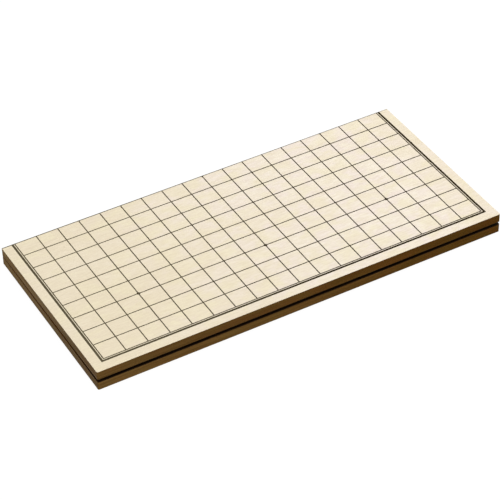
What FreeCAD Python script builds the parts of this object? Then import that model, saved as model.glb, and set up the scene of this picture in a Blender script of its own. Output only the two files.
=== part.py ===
"""Folding go board, closed, with its playing faces outwards.

Two equal halves lie on each other and are joined by three small brass hinges along one long edge, which
is the middle line of the 19 by 19 grid. Each half is a core panel with a solid lipping round it, a face
veneer that carries the printed grid, and a backing veneer that carries the feet. The hinge leaves are let
in flush, so the halves all but meet at the fold, and the feet hold them a little open at the front.

Frame: X runs along the fold, Y from the front edge to the fold, and Z up from the lower playing face.
The origin is the middle of the lower playing face. All sizes are in millimetres.
"""

import FreeCAD
import Part
import math
import os

# ---- driving dimensions ----

# Grid
LINES = 19
LINE_SPACING_ALONG = 23.7  # between the lines that cross the fold
LINE_SPACING_ACROSS = 22.0  # between the lines that run along the fold
END_MARGIN = 13.95  # last line to the left or right end of the board
FRONT_MARGIN = 14.1  # last line to the front edge
LINE_WIDTH = 1.2
BORDER_WIDTH = 2.4  # the heavier line round the grid
BORDER_OFFSET = 2.5  # from the last line to the middle of the border
STAR_RADIUS = 1.85
STAR_LINE_COUNT = 3  # cells from the grid's edge to the first star points
PRINT_DEPTH = 0.15  # how far the print is let into the veneer

# Panels
HALF_THICKNESS = 9.8
FACE_VENEER = 0.6
BACKING_VENEER = 0.6
LIPPING_WIDTH = 16.0
CORNER_RADIUS = 1.5  # front corners, seen from above
ARRIS_RADIUS = 0.4  # softened edges of the two veneers
ARRIS_SHARE_OF_VENEER = 0.9  # the most of a veneer's thickness that its rounding may take
SEAM_CLEARANCE = 0.15  # each half's fold face to the hinge axis
FOLD_GAP = 0.6  # between the backing veneers of the closed board, at the fold
FRONT_GAP = 3.0  # the same at the front edge

# Hinges
HINGE_COUNT = 3
HINGE_FROM_END = 67.0  # end of the board to the middle of the first hinge
HINGE_LENGTH = 50.0
LEAF_WIDTH = 13.0  # hinge axis to the leaf's free edge
LEAF_THICKNESS = 0.6
LEAF_CORNER_RADIUS = 1.5
LEAF_CLEARANCE = 0.1  # leaf and pin to the sides and ends of their recess
PIN_DIAMETER = 1.2
PIN_CLEARANCE = 0.05  # radial, between pin and knuckle
PIN_OVERHANG = 0.5  # pin beyond the last knuckle, at each end
PIN_END_RADIUS = 0.25
KNUCKLES = 5  # odd, the lower leaf has the first and the last
KNUCKLE_GAP = 0.2  # between knuckles, and from the barrel to wood and leaf

# Hinge screws
SCREWS_PER_LEAF = 3
SCREW_FROM_LEAF_END = 8.0
SCREW_FROM_LEAF_EDGE = 5.5  # the leaf's free edge
SCREW_HEAD_DIAMETER = 3.8
SCREW_SHANK_DIAMETER = 1.8
SCREW_POINT = 1.6  # length of the pointed end
WOOD_UNDER_SCREW = 3.0  # between the point and the face veneer
SCREW_CLEARANCE = 0.05
SLOT_WIDTH = 0.5
SLOT_DEPTH = 0.35

# Feet
FOOT_DIAMETER = 12.0
FOOT_EDGE_RADIUS = 0.5
FOOT_CLEARANCE = 0.1  # closed board, foot to the other half
LOWER_FOOT_INSET = 28.0  # from the ends of the board
FOOT_STAGGER = 10.0  # between a lower foot and the upper one beside it, so each meets bare veneer
FOOT_FROM_FRONT = 22.0

# ---- derived sizes and places ----

CELLS = LINES - 1
BOARD_LENGTH = CELLS * LINE_SPACING_ALONG + 2 * END_MARGIN
HALF_DEPTH = CELLS / 2 * LINE_SPACING_ACROSS + FRONT_MARGIN  # front edge to hinge axis
BORE_DIAMETER = PIN_DIAMETER + 2 * PIN_CLEARANCE
BARREL_DIAMETER = BORE_DIAMETER + 2 * LEAF_THICKNESS  # the leaf rolled round the pin
CLOSED_TILT = math.asin((FRONT_GAP - FOLD_GAP) / HALF_DEPTH)  # of the upper half
FRONT_HEIGHT = 2 * HALF_THICKNESS + FRONT_GAP

X_END = BOARD_LENGTH / 2
Y_FRONT = -HALF_DEPTH / 2
Y_AXIS = HALF_DEPTH / 2
Y_FOLD = Y_AXIS - SEAM_CLEARANCE
Z_AXIS = HALF_THICKNESS + FOLD_GAP / 2
Z_CORE = FACE_VENEER
Z_BACKING = HALF_THICKNESS - BACKING_VENEER
Y_FIRST_LINE = Y_FRONT + FRONT_MARGIN
X_FIRST_LINE = -X_END + END_MARGIN
Y_LEAF_EDGE = Y_AXIS - LEAF_WIDTH
Z_LEAF_BACK = HALF_THICKNESS - LEAF_THICKNESS
Z_SCREW_TIP = FACE_VENEER + WOOD_UNDER_SCREW
UPPER_FOOT_INSET = LOWER_FOOT_INSET + FOOT_DIAMETER + FOOT_STAGGER

SAME_PLACE = 1e-6
UP = FreeCAD.Vector(0, 0, 1)
ALONG_FOLD = FreeCAD.Vector(1, 0, 0)
ON_AXIS = FreeCAD.Vector(0, Y_AXIS, Z_AXIS)
ACROSS_GAP = FreeCAD.Vector(0, math.sin(CLOSED_TILT / 2), math.cos(CLOSED_TILT / 2))


def box(x0, x1, y0, y1, z0, z1):
    """A box between two corners."""
    return Part.makeBox(x1 - x0, y1 - y0, z1 - z0, FreeCAD.Vector(x0, y0, z0))


def prism(points, z0, z1):
    """A straight prism over a closed outline, from z0 to z1."""
    corners = [FreeCAD.Vector(x, y, z0) for x, y in points]
    outline = Part.makePolygon(corners + corners[:1])
    return Part.Face(outline).extrude(FreeCAD.Vector(0, 0, z1 - z0))


def fused(shapes):
    """Several overlapping shapes as one, without the edges between them."""
    return shapes[0].multiFuse(shapes[1:]).removeSplitter()


def edges_where(shape, test):
    """The edges of a shape whose two ends and middle all pass a test."""
    found = []
    for edge in shape.Edges:
        first, last = edge.ParameterRange
        spots = [edge.valueAt(first + (last - first) * share) for share in (0, 0.5, 1)]
        if all(test(spot) for spot in spots):
            found.append(edge)
    return found


def near(a, b):
    """Whether two coordinates are the same."""
    return abs(a - b) < SAME_PLACE


def upside_down(shape):
    """The upper half's copy of a lower piece, mirrored in the plane midway between the halves."""
    return shape.mirror(ON_AXIS, ACROSS_GAP)


# ---- panels ----


def slab(z0, z1):
    """A full-size sheet of one half, with its two front corners rounded."""
    sheet = box(-X_END, X_END, Y_FRONT, Y_FOLD, z0, z1)
    upright = edges_where(sheet, lambda p: near(p.y, Y_FRONT) and near(abs(p.x), X_END))
    return sheet.makeFillet(CORNER_RADIUS, upright)


def face_veneer_sheet():
    """The face veneer, softened along the front and the two ends and left sharp at the fold."""
    sheet = slab(0, FACE_VENEER)
    rim = edges_where(sheet, lambda p: near(p.z, 0))
    arris = [e for e in rim if not all(near(v.Point.y, Y_FOLD) for v in e.Vertexes)]
    return sheet.makeFillet(arris_radius(FACE_VENEER), arris)


def backing_veneer_sheet():
    """The backing veneer, softened all round."""
    sheet = slab(Z_BACKING, HALF_THICKNESS)
    rim = edges_where(sheet, lambda p: near(p.z, HALF_THICKNESS))
    return sheet.makeFillet(arris_radius(BACKING_VENEER), rim)


def arris_radius(veneer):
    """The radius of a softened edge, within the veneer's thickness."""
    return min(ARRIS_RADIUS, ARRIS_SHARE_OF_VENEER * veneer)


def core():
    """The core panel inside the lipping."""
    x = X_END - LIPPING_WIDTH
    return box(-x, x, Y_FRONT + LIPPING_WIDTH, Y_FOLD - LIPPING_WIDTH, Z_CORE, Z_BACKING)


def lippings():
    """The four solid strips round the core, mitred at the corners."""
    whole = slab(Z_CORE, Z_BACKING)
    x_in = X_END - LIPPING_WIDTH
    y_front_in = Y_FRONT + LIPPING_WIDTH
    y_fold_in = Y_FOLD - LIPPING_WIDTH
    outer = [(-X_END, Y_FRONT), (X_END, Y_FRONT), (X_END, Y_FOLD), (-X_END, Y_FOLD)]
    inner = [(-x_in, y_front_in), (x_in, y_front_in), (x_in, y_fold_in), (-x_in, y_fold_in)]
    strips = {}
    for i, side in enumerate(("front", "right", "fold", "left")):
        j = (i + 1) % len(outer)
        strip = prism([outer[i], outer[j], inner[j], inner[i]], Z_CORE, Z_BACKING)
        strips[side] = strip.common(whole)
    return strips


# ---- printed grid ----


def grid_lines():
    """The lines and star points of half the grid. The fold line is half a line wide."""
    half = LINE_WIDTH / 2
    x_last = -X_FIRST_LINE
    strokes = []
    for i in range(LINES):
        x = X_FIRST_LINE + i * LINE_SPACING_ALONG
        strokes.append(box(x - half, x + half, Y_FIRST_LINE - half, Y_FOLD, 0, PRINT_DEPTH))
    for i in range(CELLS // 2 + 1):
        y = Y_FIRST_LINE + i * LINE_SPACING_ACROSS
        y_top = min(y + half, Y_FOLD)
        strokes.append(box(X_FIRST_LINE - half, x_last + half, y - half, y_top, 0, PRINT_DEPTH))
    return fused(strokes + star_points())


def star_points():
    """Round star points on the third line in, and half ones on the fold."""
    middle = CELLS // 2
    dots = []
    for i in (STAR_LINE_COUNT, middle, CELLS - STAR_LINE_COUNT):
        for j in (STAR_LINE_COUNT, middle):
            x = X_FIRST_LINE + i * LINE_SPACING_ALONG
            y = Y_FIRST_LINE + j * LINE_SPACING_ACROSS
            dot = Part.makeCylinder(STAR_RADIUS, PRINT_DEPTH, FreeCAD.Vector(x, y, 0))
            board = box(-X_END, X_END, Y_FRONT, Y_FOLD, 0, PRINT_DEPTH)
            dots.append(dot.common(board))
    return dots


def border():
    """The heavier line outside the grid, open at the fold."""
    x_in = -X_FIRST_LINE + BORDER_OFFSET - BORDER_WIDTH / 2
    x_out = x_in + BORDER_WIDTH
    y_in = Y_FIRST_LINE - BORDER_OFFSET + BORDER_WIDTH / 2
    y_out = y_in - BORDER_WIDTH
    outside = box(-x_out, x_out, y_out, Y_FOLD, 0, PRINT_DEPTH)
    inside = box(-x_in, x_in, y_in, Y_FOLD, 0, PRINT_DEPTH)
    return outside.cut(inside)


# ---- hinges ----


def hinge_centres():
    """The X of the middle of each hinge."""
    first = HINGE_FROM_END - X_END
    pitch = -2 * first / (HINGE_COUNT - 1)
    return [first + i * pitch for i in range(HINGE_COUNT)]


def screw_places():
    """The X of each screw of one half, evenly spaced along its leaf."""
    pitch = (HINGE_LENGTH - 2 * SCREW_FROM_LEAF_END) / (SCREWS_PER_LEAF - 1)
    first = SCREW_FROM_LEAF_END - HINGE_LENGTH / 2
    return [x + first + i * pitch for x in hinge_centres() for i in range(SCREWS_PER_LEAF)]


def knuckle_spans(x_hinge, first_knuckle):
    """Start and end X of every second knuckle, from the first or the second one."""
    length = (HINGE_LENGTH - (KNUCKLES - 1) * KNUCKLE_GAP) / KNUCKLES
    start = x_hinge - HINGE_LENGTH / 2
    spans = []
    for i in range(first_knuckle, KNUCKLES, 2):
        x0 = start + i * (length + KNUCKLE_GAP)
        spans.append((x0, x0 + length))
    return spans


def screw(x, radial_clearance=0.0, slotted=True):
    """A countersunk wood screw, head up, flush with the leaf of the lower half."""
    head = SCREW_HEAD_DIAMETER / 2 + radial_clearance
    shank = SCREW_SHANK_DIAMETER / 2 + radial_clearance
    z_neck = HALF_THICKNESS - (head - shank)
    z_tip = Z_SCREW_TIP - radial_clearance
    z_point = z_tip + SCREW_POINT
    outline = [(0, HALF_THICKNESS), (head, HALF_THICKNESS), (shank, z_neck), (shank, z_point), (0, z_tip)]
    corners = [FreeCAD.Vector(r, 0, z) for r, z in outline]
    face = Part.Face(Part.makePolygon(corners + corners[:1]))
    body = face.revolve(FreeCAD.Vector(0, 0, 0), UP, 360)
    if slotted:
        half = SLOT_WIDTH / 2
        body = body.cut(box(-head, head, -half, half, HALF_THICKNESS - SLOT_DEPTH, HALF_THICKNESS))
    body.translate(FreeCAD.Vector(x, Y_LEAF_EDGE + SCREW_FROM_LEAF_EDGE, 0))
    return body


def screws():
    """All the hinge screws of the lower half."""
    return Part.makeCompound([screw(x) for x in screw_places()])


def screw_spaces():
    """The room that the screws take in the leaves and the wood."""
    return Part.makeCompound([screw(x, SCREW_CLEARANCE, slotted=False) for x in screw_places()])


def barrel(x0, x1, diameter):
    """A cylinder on the hinge axis from x0 to x1."""
    start = FreeCAD.Vector(x0, Y_AXIS, Z_AXIS)
    return Part.makeCylinder(diameter / 2, x1 - x0, start, ALONG_FOLD)


def plate(x_hinge, y_end, clearance=0.0):
    """A plate in the backing of the lower half, flush with it, from the leaf's free edge to y_end."""
    reach = HINGE_LENGTH / 2 + clearance
    x0, x1 = x_hinge - reach, x_hinge + reach
    y0 = Y_LEAF_EDGE - clearance
    sheet = box(x0, x1, y0, y_end, Z_LEAF_BACK, HALF_THICKNESS)
    corners = edges_where(sheet, lambda p: near(p.y, y0) and (near(p.x, x0) or near(p.x, x1)))
    return sheet.makeFillet(LEAF_CORNER_RADIUS + clearance, corners)


def leaf(x_hinge, first_knuckle):
    """One hinge leaf of the lower half: a plate, its knuckles and its countersunk holes."""
    y_clear = Y_AXIS - BARREL_DIAMETER / 2 - KNUCKLE_GAP
    pieces = [plate(x_hinge, y_clear)]
    for k0, k1 in knuckle_spans(x_hinge, first_knuckle):
        pieces.append(box(k0, k1, y_clear - LEAF_THICKNESS, Y_AXIS, Z_LEAF_BACK, HALF_THICKNESS))
        pieces.append(barrel(k0, k1, BARREL_DIAMETER))
    bore = barrel(x_hinge - HINGE_LENGTH / 2, x_hinge + HINGE_LENGTH / 2, BORE_DIAMETER)
    return fused(pieces).cut(bore).cut(screw_spaces())


def hinge_recess(x_hinge):
    """The room that a hinge takes in the lower half: its leaf's, and a groove for its barrel."""
    reach = HINGE_LENGTH / 2 + PIN_OVERHANG + LEAF_CLEARANCE
    groove = barrel(x_hinge - reach, x_hinge + reach, BARREL_DIAMETER + 2 * KNUCKLE_GAP)
    return plate(x_hinge, Y_AXIS, LEAF_CLEARANCE).fuse(groove)


def pin(x_hinge):
    """A hinge pin, a little longer than its knuckles, with rounded ends."""
    reach = HINGE_LENGTH / 2 + PIN_OVERHANG
    rod = barrel(x_hinge - reach, x_hinge + reach, PIN_DIAMETER)
    rims = [e for e in rod.Edges if isinstance(e.Curve, Part.Circle)]
    return rod.makeFillet(PIN_END_RADIUS, rims)


# ---- feet ----


def feet(inset):
    """Two round pads near the front corners of the lower half, which all but touch the upper one."""
    to_axis = HALF_DEPTH - FOOT_FROM_FRONT
    narrowest_gap = FOLD_GAP + (to_axis - FOOT_DIAMETER / 2) * math.tan(CLOSED_TILT)
    height = narrowest_gap - FOOT_CLEARANCE
    pads = []
    for x in (inset - X_END, X_END - inset):
        place = FreeCAD.Vector(x, Y_AXIS - to_axis, HALF_THICKNESS)
        pad = Part.makeCylinder(FOOT_DIAMETER / 2, height, place)
        rim = edges_where(pad, lambda p: near(p.z, HALF_THICKNESS + height))
        pads.append(pad.makeFillet(FOOT_EDGE_RADIUS, rim))
    return Part.makeCompound(pads)


# ---- assembly ----


def half_board():
    """The pieces that both halves have, as they lie in the lower one, by name."""
    recesses = Part.makeCompound([hinge_recess(x) for x in hinge_centres()])
    prints = Part.makeCompound([grid_lines(), border()])
    wood = {"core": core(), "backing_veneer": backing_veneer_sheet()}
    for side, strip in lippings().items():
        wood[side + "_lipping"] = strip
    pieces = {name: piece.cut(recesses).cut(screw_spaces()) for name, piece in wood.items()}
    pieces["playing_veneer"] = face_veneer_sheet().cut(prints)
    pieces["printed_grid"] = prints
    pieces["hinge_screws"] = screws()
    return pieces


def assembly():
    """Every node of the closed board, by name."""
    nodes = {}
    for name, piece in half_board().items():
        nodes["lower_" + name] = piece
        nodes["upper_" + name] = upside_down(piece)
    nodes["lower_feet"] = feet(LOWER_FOOT_INSET)
    nodes["upper_feet"] = upside_down(feet(UPPER_FOOT_INSET))
    for number, x_hinge in enumerate(hinge_centres(), start=1):
        nodes[f"hinge_{number}_lower_leaf"] = leaf(x_hinge, 0)
        nodes[f"hinge_{number}_upper_leaf"] = upside_down(leaf(x_hinge, 1))
        nodes[f"hinge_{number}_pin"] = pin(x_hinge)
    return nodes


def main():
    os.makedirs("parts", exist_ok=True)
    for name, shape in assembly().items():
        shape.exportStep(f"parts/{name}.step")
        volume = sum(solid.Volume for solid in shape.Solids)
        print(f"{name}: {len(shape.Solids)} solids, {volume:.1f} mm3, valid {shape.isValid()}")
    print(f"closed size {BOARD_LENGTH:.1f} x {HALF_DEPTH:.1f} x {FRONT_HEIGHT:.1f} mm")


main()
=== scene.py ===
"""Looks of a folding go board that lies closed on a pale floor, playing faces outwards.

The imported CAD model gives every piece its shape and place. This script gives the pieces their finish:
pale straight-grained veneer under a satin lacquer, brown edges, matt ink, dark backing, brass and rubber.
Lengths are metres, in the frame of the CAD model: X along the fold, Y from front to fold, Z up.
"""

import math

import bpy
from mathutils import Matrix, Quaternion, Vector

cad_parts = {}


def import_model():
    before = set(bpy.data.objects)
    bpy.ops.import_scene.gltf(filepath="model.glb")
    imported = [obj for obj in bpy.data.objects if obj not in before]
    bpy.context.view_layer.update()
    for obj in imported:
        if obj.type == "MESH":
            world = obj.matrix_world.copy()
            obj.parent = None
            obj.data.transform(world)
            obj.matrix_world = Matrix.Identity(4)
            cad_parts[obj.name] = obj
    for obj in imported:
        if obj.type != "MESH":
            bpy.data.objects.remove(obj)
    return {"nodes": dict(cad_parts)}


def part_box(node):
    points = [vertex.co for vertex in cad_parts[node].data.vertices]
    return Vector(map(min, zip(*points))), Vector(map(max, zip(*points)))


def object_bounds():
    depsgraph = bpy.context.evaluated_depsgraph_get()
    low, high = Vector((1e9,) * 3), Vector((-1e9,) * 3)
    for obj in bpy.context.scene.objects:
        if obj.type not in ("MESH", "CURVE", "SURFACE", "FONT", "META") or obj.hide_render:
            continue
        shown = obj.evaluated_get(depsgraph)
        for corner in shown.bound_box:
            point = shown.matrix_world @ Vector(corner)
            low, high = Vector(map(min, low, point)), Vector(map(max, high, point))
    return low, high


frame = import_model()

MM = 0.001
CAD_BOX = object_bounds()
CENTRE = (CAD_BOX[0] + CAD_BOX[1]) / 2
END_X = CAD_BOX[1].x
FOLD_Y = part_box("lower_playing_veneer")[1].y
LOWER_TOP_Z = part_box("lower_backing_veneer")[1].z


def srgb(red, green, blue):
    """A colour given as 0 to 255 display values, as linear values with alpha."""
    linear = []
    for value in (red, green, blue):
        share = value / 255
        linear.append(share / 12.92 if share <= 0.04045 else ((share + 0.055) / 1.055) ** 2.4)
    return (*linear, 1.0)


def grey(value):
    """A grey of that linear value."""
    return (value, value, value, 1.0)


# ---- palette ----

VENEER_CREAM = srgb(242, 229, 201)
VENEER_PALE = srgb(253, 243, 226)
VENEER_ROSE = srgb(250, 237, 228)
VENEER_YELLOW = srgb(246, 236, 201)
VENEER_STREAK = srgb(226, 210, 183)
VENEER_FLECK = srgb(212, 188, 148)
EDGE_OLIVE = srgb(97, 66, 6)
EDGE_RED = srgb(101, 61, 4)
EDGE_GREEN = srgb(92, 71, 8)
# Painted light, laid over the edge brown where lamps would light it more.
EDGE_PAINTED_LIGHT = srgb(150, 118, 62)
EDGE_DARK = srgb(68, 42, 2)
# A grey painted sheen, laid over the edge brown.
EDGE_PAINTED_SHEEN = srgb(104, 82, 50)
BACK_LIGHT = srgb(50, 33, 17)
BACK_DARK = srgb(30, 19, 10)
INK_DARK = srgb(38, 28, 2)
INK_THIN = srgb(91, 83, 62)
BRASS_ROLLED = srgb(173, 140, 87)
BRASS_TURNED = srgb(158, 123, 71)
BRASS_TARNISHED = srgb(144, 111, 63)
RUBBER_DARK = srgb(30, 28, 26)
RUBBER_LIGHT = srgb(44, 41, 38)
BOARD_DARK = srgb(150, 118, 84)
BOARD_LIGHT = srgb(188, 156, 118)


# ---- gradients: the places along one axis where a change starts and ends, and its value at each ----

# Paler to the right: partly the leaf's own tone, partly painted sheen.
VENEER_TONE_AND_SHEEN_RIGHT = (-250 * MM, 200 * MM, 0.0, 1.0)
VENEER_CREAMIER_RIGHT_END = (160 * MM, 215 * MM, 0.0, -0.55)
INK_BLED_AT_FOLD = (FOLD_Y - 1.3 * MM, FOLD_Y - 0.7 * MM, 0.0, 1.0)
INK_BLED_LESS_RIGHT = (-200 * MM, 200 * MM, 1.0, 0.5)
INK_THINNER_LEFT = (-260 * MM, 120 * MM, 1.0, 0.0)
# Painted sheen: the edges grey towards the left.
EDGE_PAINTED_SHEEN_LEFT = (-280 * MM, 240 * MM, 0.5, 0.0)
# Painted light: the lower half of the lengthwise edges lighter, most of all to the left.
EDGE_PAINTED_LIGHT_BELOW = (LOWER_TOP_Z, LOWER_TOP_Z + 3 * MM, 0.2, 0.0)
EDGE_PAINTED_LIGHT_LEFT = (-50 * MM, 250 * MM, 1.0, 0.0)
# Painted shade at the front of the crosswise edges, and painted sheen towards the fold.
EDGE_PAINTED_SHADE_FRONT = (-106 * MM, 20 * MM, 0.2, 0.0)
EDGE_PAINTED_SHEEN_FOLD = (-50 * MM, 107 * MM, 0.0, 0.26)
# Painted light at the ends of the backing, fading to painted shade towards the front.
BACK_PAINTED_LIGHT_ENDS = (END_X - 3.75 * MM, END_X - 1.75 * MM, 0.0, 0.6)
BACK_PAINTED_SHADE_FRONT = (-120 * MM, -20 * MM, 0.1, 1.0)


# ---- node trees ----


class Nodes:
    """A node tree, built from small named steps."""

    def __init__(self, tree):
        self.tree = tree
        tree.nodes.clear()

    def add(self, kind, inputs, **settings):
        """A node with its settings, and with each input linked to a socket or set to a value."""
        node = self.tree.nodes.new(kind)
        for name, value in settings.items():
            setattr(node, name, value)
        for name, value in inputs.items():
            socket = node.inputs[name]
            if isinstance(value, bpy.types.NodeSocket):
                self.tree.links.new(value, socket)
            else:
                socket.default_value = value
        return node

    def place(self):
        """The point on the piece, in metres in the CAD frame."""
        return self.add("ShaderNodeTexCoord", {}).outputs["Object"]

    def facing(self):
        """The surface's own normal, which turns with the piece."""
        return self.add("ShaderNodeTexCoord", {}).outputs["Normal"]

    def split(self, vector):
        """The X, Y and Z of a vector."""
        return self.add("ShaderNodeSeparateXYZ", {"Vector": vector}).outputs

    def noise(self, place, per_metre, detail, roughness=0.5, distortion=0.0, offset=(0, 0, 0)):
        """Smooth noise from 0 to 1, mostly near the middle. Unequal waves per metre make streaks."""
        scaling = {"Vector": place, "Scale": per_metre, "Location": offset}
        inputs = {
            "Vector": self.add("ShaderNodeMapping", scaling).outputs["Vector"],
            "Scale": 1.0,
            "Detail": detail,
            "Roughness": roughness,
            "Distortion": distortion,
        }
        return self.add("ShaderNodeTexNoise", inputs).outputs["Fac"]

    def math(self, operation, first, second=0.0):
        """One step of arithmetic."""
        return self.add("ShaderNodeMath", {0: first, 1: second}, operation=operation).outputs[0]

    def spread(self, value, low, high, to_low=0.0, to_high=1.0):
        """A value from low to high, spread smoothly over another range and held there."""
        inputs = {"Value": value, "From Min": low, "From Max": high, "To Min": to_low, "To Max": to_high}
        return self.add("ShaderNodeMapRange", inputs, interpolation_type="SMOOTHSTEP").outputs["Result"]

    def mix(self, share, first, second):
        """Two colours mixed by a share."""
        return self.add("ShaderNodeMix", {0: share, 6: first, 7: second}, data_type="RGBA").outputs[2]

    def tint(self, colour, tone, field, low, high, share=1.0):
        """A colour with a tone laid over it, up to a share, as a field goes from low to high."""
        return self.mix(self.spread(field, low, high, 0.0, share), colour, tone)

    def bump(self, height, depth, strength):
        """A normal tilted by a height field of 0 to 1, as deep as depth in metres."""
        inputs = {"Height": height, "Distance": depth, "Strength": strength}
        return self.add("ShaderNodeBump", inputs).outputs["Normal"]

    def seen_directly(self):
        """1 for rays of the camera, reflections and glass, 0 for rays that carry light."""
        path = self.add("ShaderNodeLightPath", {}).outputs
        mirrored = self.math("MAXIMUM", path["Is Glossy Ray"], path["Is Transmission Ray"])
        return self.math("MAXIMUM", path["Is Camera Ray"], mirrored)


class Finish(Nodes):
    """A node material."""

    def __init__(self, name):
        self.material = bpy.data.materials.new(name)
        self.material.use_nodes = True
        super().__init__(self.material.node_tree)

    def surface(self, **sockets):
        """The finished surface. Underscores in socket names stand for spaces."""
        inputs = {name.replace("_", " "): value for name, value in sockets.items()}
        shader = self.add("ShaderNodeBsdfPrincipled", inputs).outputs[0]
        self.add("ShaderNodeOutputMaterial", {"Surface": shader})
        return self.material


# ---- finishes ----


def edge_brown(finish, along):
    """The brown of the edges, with streaks along X or Y, as a colour and its streaks.

    It has a painted sheen that greys it towards the left. Lengthwise strips have painted light on the
    lower half, most of all to the left.
    Crosswise strips go from painted shade at the front to painted sheen at the fold.
    """
    place = finish.place()
    x, y, z = finish.split(place)
    if along == "X":
        waves, second = (14, 300, 420), EDGE_RED
        painted_shade = 0.0
        # Painted light on the lower half, most of all to the left.
        below = finish.spread(z, *EDGE_PAINTED_LIGHT_BELOW)
        painted_light = finish.math("MULTIPLY", below, finish.spread(x, *EDGE_PAINTED_LIGHT_LEFT))
    else:
        waves, second = (300, 14, 420), EDGE_GREEN
        # Painted shade at the front and painted sheen towards the fold.
        painted_shade = finish.spread(y, *EDGE_PAINTED_SHADE_FRONT)
        painted_light = finish.spread(y, *EDGE_PAINTED_SHEEN_FOLD)
    streaks = finish.noise(place, waves, detail=4.0, roughness=0.6)
    patches = finish.noise(place, (45, 45, 90), detail=2.0, offset=(3, 1, 2))
    ground = finish.tint(EDGE_OLIVE, second, patches, 0.35, 0.65)
    # Painted sheen, greying the brown towards the left.
    sheened = finish.mix(finish.spread(x, *EDGE_PAINTED_SHEEN_LEFT), ground, EDGE_PAINTED_SHEEN)
    lit = finish.mix(painted_light, sheened, EDGE_PAINTED_LIGHT)
    # Dark grain streaks, with painted shade added at the front of the crosswise strips.
    streaks_and_shade = finish.math("ADD", finish.spread(streaks, 0.35, 0.72, 0.0, 0.5), painted_shade)
    return finish.mix(streaks_and_shade, lit, EDGE_DARK), streaks


def pale_veneer():
    """Straight-grained pale veneer on the face, inked at the fold and brown on its sides."""
    finish = Finish("pale_veneer")
    place = finish.place()
    x, y, _ = finish.split(place)
    clouds = finish.noise(place, (9, 16, 16), detail=3.0)
    rosy = finish.noise(place, (60, 80, 80), detail=2.0, offset=(5, 2, 8))
    yellow = finish.noise(place, (50, 70, 70), detail=2.0, offset=(1, 9, 4))
    grain = finish.noise(place, (5, 190, 60), detail=5.0, roughness=0.62, distortion=0.25)
    mottle = finish.noise(place, (110, 720, 720), detail=2.0, roughness=0.6)
    fibres = finish.noise(place, (60, 2300, 900), detail=3.0, roughness=0.7)
    flecks = finish.noise(place, (170, 1500, 900), detail=2.0, offset=(7, 3, 5))

    # Paler and rosier to the right: partly the leaf's own tone, partly painted sheen.
    paler_and_sheen, creamier = finish.spread(x, *VENEER_TONE_AND_SHEEN_RIGHT), finish.spread(x, *VENEER_CREAMIER_RIGHT_END)
    leaf = finish.math("ADD", paler_and_sheen, creamier)
    paleness = finish.math("ADD", leaf, finish.spread(clouds, 0.3, 0.7, -0.15, 0.15))
    rosiness = finish.math("MULTIPLY", leaf, finish.spread(rosy, 0.42, 0.6, 0.0, 0.9))
    face = finish.mix(paleness, VENEER_CREAM, VENEER_PALE)
    face = finish.mix(rosiness, face, VENEER_ROSE)
    face = finish.tint(face, VENEER_YELLOW, yellow, 0.45, 0.65, share=0.5)
    face = finish.tint(face, VENEER_STREAK, grain, 0.5, 0.8, share=0.26)
    face = finish.tint(face, VENEER_STREAK, mottle, 0.32, 0.68, share=0.4)
    face = finish.tint(face, VENEER_STREAK, fibres, 0.35, 0.75, share=0.17)
    face = finish.tint(face, VENEER_FLECK, flecks, 0.66, 0.78, share=0.3)
    at_fold, less_right = finish.spread(y, *INK_BLED_AT_FOLD), finish.spread(x, *INK_BLED_LESS_RIGHT)
    face = finish.mix(finish.math("MULTIPLY", at_fold, less_right), face, INK_THIN)

    side, _ = edge_brown(finish, "X")
    upright = finish.math("ABSOLUTE", finish.split(finish.facing())["Z"])
    return finish.surface(
        Base_Color=finish.tint(side, face, upright, 0.55, 0.75),
        Roughness=finish.spread(fibres, 0.3, 0.8, 0.48, 0.58),
        Normal=finish.bump(fibres, depth=0.02 * MM, strength=0.4),
        Specular_IOR_Level=0.1,
    )


def brown_wood(name, along):
    """The brown wood of a lipping, with its grain along X or Y."""
    finish = Finish(name)
    colour, streaks = edge_brown(finish, along)
    return finish.surface(
        Base_Color=colour,
        Roughness=finish.spread(streaks, 0.3, 0.7, 0.5, 0.62),
        Normal=finish.bump(streaks, depth=0.05 * MM, strength=0.5),
        Specular_IOR_Level=0.04,
    )


def dark_backing():
    """The dark stained veneer of the inner faces, with open grain along X, painted light at the ends and
    painted shade towards the front.
    """
    finish = Finish("dark_backing")
    place = finish.place()
    x, y, _ = finish.split(place)
    figure = finish.noise(place, (6, 90, 90), detail=4.0, roughness=0.6, distortion=0.4)
    pores = finish.noise(place, (110, 1800, 900), detail=2.0, roughness=0.6)
    stained = finish.tint(BACK_LIGHT, BACK_DARK, figure, 0.35, 0.65)
    dark = finish.tint(stained, BACK_DARK, pores, 0.55, 0.75, share=0.6)
    # Painted light at the ends, where light gets into the gap between the halves, held back towards the
    # front as painted shade.
    end = finish.spread(finish.math("ABSOLUTE", x), *BACK_PAINTED_LIGHT_ENDS)
    gap_light_and_shade = finish.math("MULTIPLY", end, finish.spread(y, *BACK_PAINTED_SHADE_FRONT))
    return finish.surface(
        Base_Color=finish.mix(gap_light_and_shade, dark, EDGE_RED),
        Roughness=finish.spread(pores, 0.3, 0.7, 0.5, 0.66),
        Normal=finish.bump(pores, depth=0.05 * MM, strength=0.5),
        Specular_IOR_Level=0.04,
    )


def ink():
    """Matt screen-printed ink, thinner towards the left and a little uneven everywhere."""
    finish = Finish("printed_ink")
    place = finish.place()
    cover = finish.noise(place, (900, 900, 900), detail=2.0)
    thinness = finish.spread(finish.split(place)["X"], *INK_THINNER_LEFT)
    uneven = finish.math("ADD", thinness, finish.spread(cover, 0.3, 0.7, -0.12, 0.12))
    colour = finish.mix(uneven, INK_DARK, INK_THIN)
    return finish.surface(Base_Color=colour, Roughness=0.6, Specular_IOR_Level=0.05)


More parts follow.
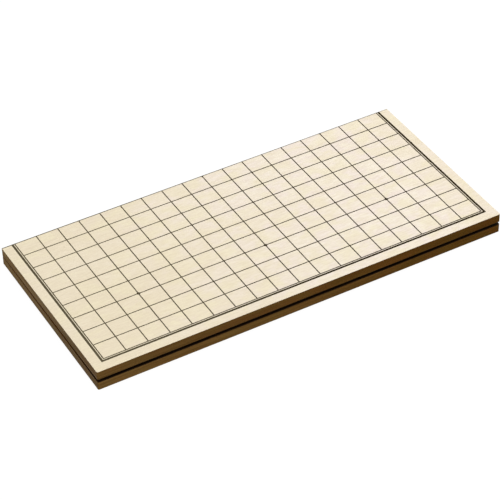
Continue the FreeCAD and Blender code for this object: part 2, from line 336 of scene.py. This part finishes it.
def brass(name, bright, roughness):
    """Satin brass, drawn along X, with a slight tarnish and roughness up to 0.1 above the one given."""
    finish = Finish(name)
    place = finish.place()
    drawn = finish.noise(place, (80, 6000, 6000), detail=3.0, roughness=0.6)
    tarnish = finish.noise(place, (110, 110, 110), detail=4.0, roughness=0.6)
    return finish.surface(
        Base_Color=finish.tint(bright, BRASS_TARNISHED, tarnish, 0.4, 0.8, share=0.7),
        Metallic=1.0,
        Roughness=finish.spread(drawn, 0.3, 0.7, roughness, roughness + 0.1),
        Normal=finish.bump(drawn, depth=0.01 * MM, strength=0.4),
    )


def rubber():
    """Matt dark rubber."""
    finish = Finish("rubber")
    grain = finish.noise(finish.place(), (2600, 2600, 2600), detail=2.0)
    return finish.surface(
        Base_Color=finish.mix(grain, RUBBER_DARK, RUBBER_LIGHT),
        Roughness=0.75,
        Normal=finish.bump(grain, depth=0.03 * MM, strength=0.5),
        Specular_IOR_Level=0.3,
    )


def fibreboard():
    """Raw fibreboard of the core."""
    finish = Finish("fibreboard")
    fibres = finish.noise(finish.place(), (900, 900, 2600), detail=4.0, roughness=0.7)
    return finish.surface(
        Base_Color=finish.mix(fibres, BOARD_DARK, BOARD_LIGHT),
        Roughness=0.85,
        Normal=finish.bump(fibres, depth=0.05 * MM, strength=0.5),
    )


def dress():
    """Gives every CAD node the finish of its kind, which its name ends with."""
    lengthwise = brown_wood("brown_lengthwise", "X")
    crosswise = brown_wood("brown_crosswise", "Y")
    finishes = {
        "playing_veneer": pale_veneer(),
        "backing_veneer": dark_backing(),
        "front_lipping": lengthwise,
        "fold_lipping": lengthwise,
        "left_lipping": crosswise,
        "right_lipping": crosswise,
        "core": fibreboard(),
        "printed_grid": ink(),
        "hinge_screws": brass("turned_brass", BRASS_TURNED, 0.34),
        "feet": rubber(),
        "leaf": brass("leaf_brass", BRASS_ROLLED, 0.42),
        "pin": brass("pin_brass", BRASS_TURNED, 0.3),
    }
    for name, piece in frame["nodes"].items():
        kind = next(kind for kind in finishes if name.endswith(kind))
        for place in piece.material_slots:
            place.material = finishes[kind]


# ---- stage, light and camera ----

CAMERA_AIM = Vector((-10.96, -13.68, 11.25)) * MM
CAMERA_DISTANCE = 2.1184
CAMERA_AZIMUTH = -29.024
CAMERA_ELEVATION = 40.149
CAMERA_ROLL = 1.153
CAMERA_CLIPS = (0.05, 50)
SENSOR_WIDTH = 36.0
LENS = 152.75

# Azimuth and elevation in degrees, distance, width and height in metres, power in watts.
LAMPS = {
    "overhead": (180, 88, 1.6, 1.6, 1.6, 18.3),
    "right": (92, 42, 1.3, 0.7, 0.5, 3.9),
    "front_left": (-38, 8, 0.75, 0.3, 0.1, 1.15),
    "left": (-128, 12, 1.1, 0.5, 0.2, 1.55),
}

WHITE = grey(1.0)
FLOOR_REACH = 6.0
FLOOR_SHADE = 0.12
FLOOR_GLOW = 0.93
FLOOR_BOUNCE = 0.8
WORLD_LIGHT = 0.24


def direction(azimuth, elevation):
    """A unit vector from the object towards a compass angle and a height, in degrees."""
    turn, rise = math.radians(azimuth), math.radians(elevation)
    return Vector((math.sin(turn) * math.cos(rise), -math.cos(turn) * math.cos(rise), math.sin(rise)))


def stand(name, data, target, azimuth, elevation, distance, roll=0.0):
    """A lamp or camera that looks at a target from that direction and distance."""
    watcher = bpy.data.objects.new(name, data)
    bpy.context.scene.collection.objects.link(watcher)
    back = direction(azimuth, elevation)
    watcher.location = target + back * distance
    watcher.rotation_mode = "QUATERNION"
    tilt = Quaternion((0, 0, 1), -math.radians(roll))
    watcher.rotation_quaternion = (-back).to_track_quat("-Z", "Y") @ tilt
    return watcher


def camera():
    """The camera that frames the closed board."""
    data = bpy.data.cameras.new("camera")
    data.lens = LENS
    data.sensor_width = SENSOR_WIDTH
    data.clip_start, data.clip_end = CAMERA_CLIPS
    bpy.context.scene.camera = stand(
        "camera", data, CAMERA_AIM, CAMERA_AZIMUTH, CAMERA_ELEVATION, CAMERA_DISTANCE, CAMERA_ROLL
    )


def softbox(name, azimuth, elevation, distance, width, height, watts):
    """A rectangular lamp that faces the board."""
    data = bpy.data.lights.new(name, "AREA")
    data.shape = "RECTANGLE"
    data.size, data.size_y = width, height
    data.energy = watts
    stand(name, data, CENTRE, azimuth, elevation, distance).visible_camera = False


def floor():
    """A wide white floor that keeps a light shadow."""
    low, high, level = -FLOOR_REACH, FLOOR_REACH, CAD_BOX[0].z
    corners = [(low, low, level), (high, low, level), (high, high, level), (low, high, level)]
    mesh = bpy.data.meshes.new("floor")
    mesh.from_pydata(corners, [], [(0, 1, 2, 3)])
    ground = bpy.data.objects.new("floor", mesh)
    bpy.context.scene.collection.objects.link(ground)

    finish = Finish("floor_white")
    shade = finish.add("ShaderNodeBsdfDiffuse", {"Color": grey(FLOOR_SHADE)}).outputs[0]
    glow = finish.add("ShaderNodeEmission", {"Color": WHITE, "Strength": FLOOR_GLOW}).outputs[0]
    seen = finish.add("ShaderNodeAddShader", {0: shade, 1: glow}).outputs[0]
    unseen = finish.add("ShaderNodeBsdfDiffuse", {"Color": grey(FLOOR_BOUNCE)}).outputs[0]
    mixed = finish.add("ShaderNodeMixShader", {0: finish.seen_directly(), 1: unseen, 2: seen}).outputs[0]
    finish.add("ShaderNodeOutputMaterial", {"Surface": mixed})
    mesh.materials.append(finish.material)


def world():
    """A white surround for the camera and reflections, and a soft light for the rest."""
    surround = bpy.data.worlds.new("studio")
    surround.use_nodes = True
    nodes = Nodes(surround.node_tree)
    strength = nodes.spread(nodes.seen_directly(), 0.0, 1.0, WORLD_LIGHT, 1.0)
    light = nodes.add("ShaderNodeBackground", {"Color": WHITE, "Strength": strength}).outputs[0]
    nodes.add("ShaderNodeOutputWorld", {"Surface": light})
    bpy.context.scene.world = surround


dress()
floor()
world()
for name, settings in LAMPS.items():
    softbox(name, *settings)
camera()
bpy.context.scene.view_settings.view_transform = "Standard"
